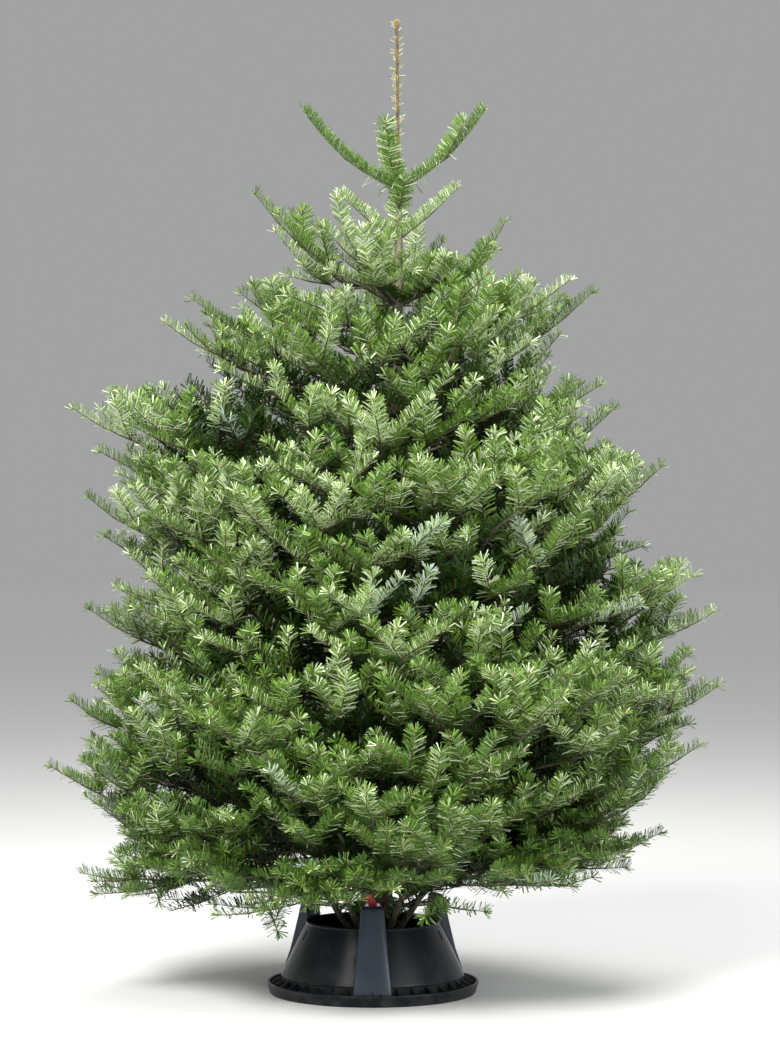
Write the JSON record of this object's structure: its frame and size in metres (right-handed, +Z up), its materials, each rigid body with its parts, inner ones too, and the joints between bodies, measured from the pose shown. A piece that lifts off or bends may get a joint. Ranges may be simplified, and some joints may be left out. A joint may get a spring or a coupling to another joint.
{
  "type": "christmas tree",
  "caption": "Cut fir as a Christmas tree: stem with tiers of boughs and flat sprays of needles, clamped in a round plastic water stand.",
  "frame": {"origin": "middle of the stand's flat underside, at ground level", "axes": "+Z up along the stem, +X to the right seen from the front, +Y towards the back"},
  "size_m": [1.4045, 1.3066, 2.038],
  "materials": {
    "needles": "glossy dark green needles, paler on the young shoots",
    "bark": "rough grey-brown bark",
    "stand_plastic": "black moulded plastic, scuffed and dusty",
    "clamp_steel": "zinc-plated steel",
    "red_tie": "red plastic strip"
  },
  "bodies": {
    "root": {"bough_tier1_back": "bark", "bough_tier1_front_left": "bark", "bough_tier1_front_right": "bark", "bough_tier1_left": "bark", "bough_tier1_right": "bark", "bough_tier8_front_left": "bark", "bough_tier8_left": "bark", "bough_tier8_right": "bark", "foliage_tier1_back": "needles", "foliage_tier1_front_left": "needles", "foliage_tier1_front_right": "needles", "foliage_tier1_left": "needles", "foliage_tier1_right": "needles", "foliage_tier2_back_left": "needles", "foliage_tier2_back_right": "needles", "foliage_tier2_front": "needles", "foliage_tier2_left": "needles", "foliage_tier2_right": "needles", "foliage_tier3_back": "needles", "foliage_tier3_front_left": "needles", "foliage_tier3_front_right": "needles", "foliage_tier3_left": "needles", "foliage_tier3_right": "needles", "foliage_tier4_back_left": "needles", "foliage_tier4_back_right": "needles", "foliage_tier4_front": "needles", "foliage_tier4_left": "needles", "foliage_tier4_right": "needles", "foliage_tier5_back": "needles", "foliage_tier5_front_left": "needles", "foliage_tier5_front_right": "needles", "foliage_tier5_left": "needles", "foliage_tier5_right": "needles", "foliage_tier6_back_left": "needles", "foliage_tier6_back_right": "needles", "foliage_tier6_front": "needles", "foliage_tier6_left": "needles", "foliage_tier6_right": "needles", "foliage_tier7_back": "needles", "foliage_tier7_front_left": "needles", "foliage_tier7_front_right": "needles", "foliage_tier7_left": "needles", "foliage_tier7_right": "needles", "foliage_tier8_back": "needles", "foliage_tier8_front_left": "needles", "foliage_tier8_left": "needles", "foliage_tier8_right": "needles", "foliage_tier9_back": "needles", "foliage_tier9_front": "needles", "foliage_tier9_left": "needles", "foliage_tier9_right": "needles", "red_tie": "red_tie", "stand_base": "stand_plastic", "stand_clamp_back_left": "clamp_steel", "stand_clamp_back_right": "clamp_steel", "stand_clamp_front": "clamp_steel", "stand_post_back_left": "stand_plastic", "stand_post_back_right": "stand_plastic", "stand_post_front": "stand_plastic", "trunk": "bark"}
  },
  "joints": []
}
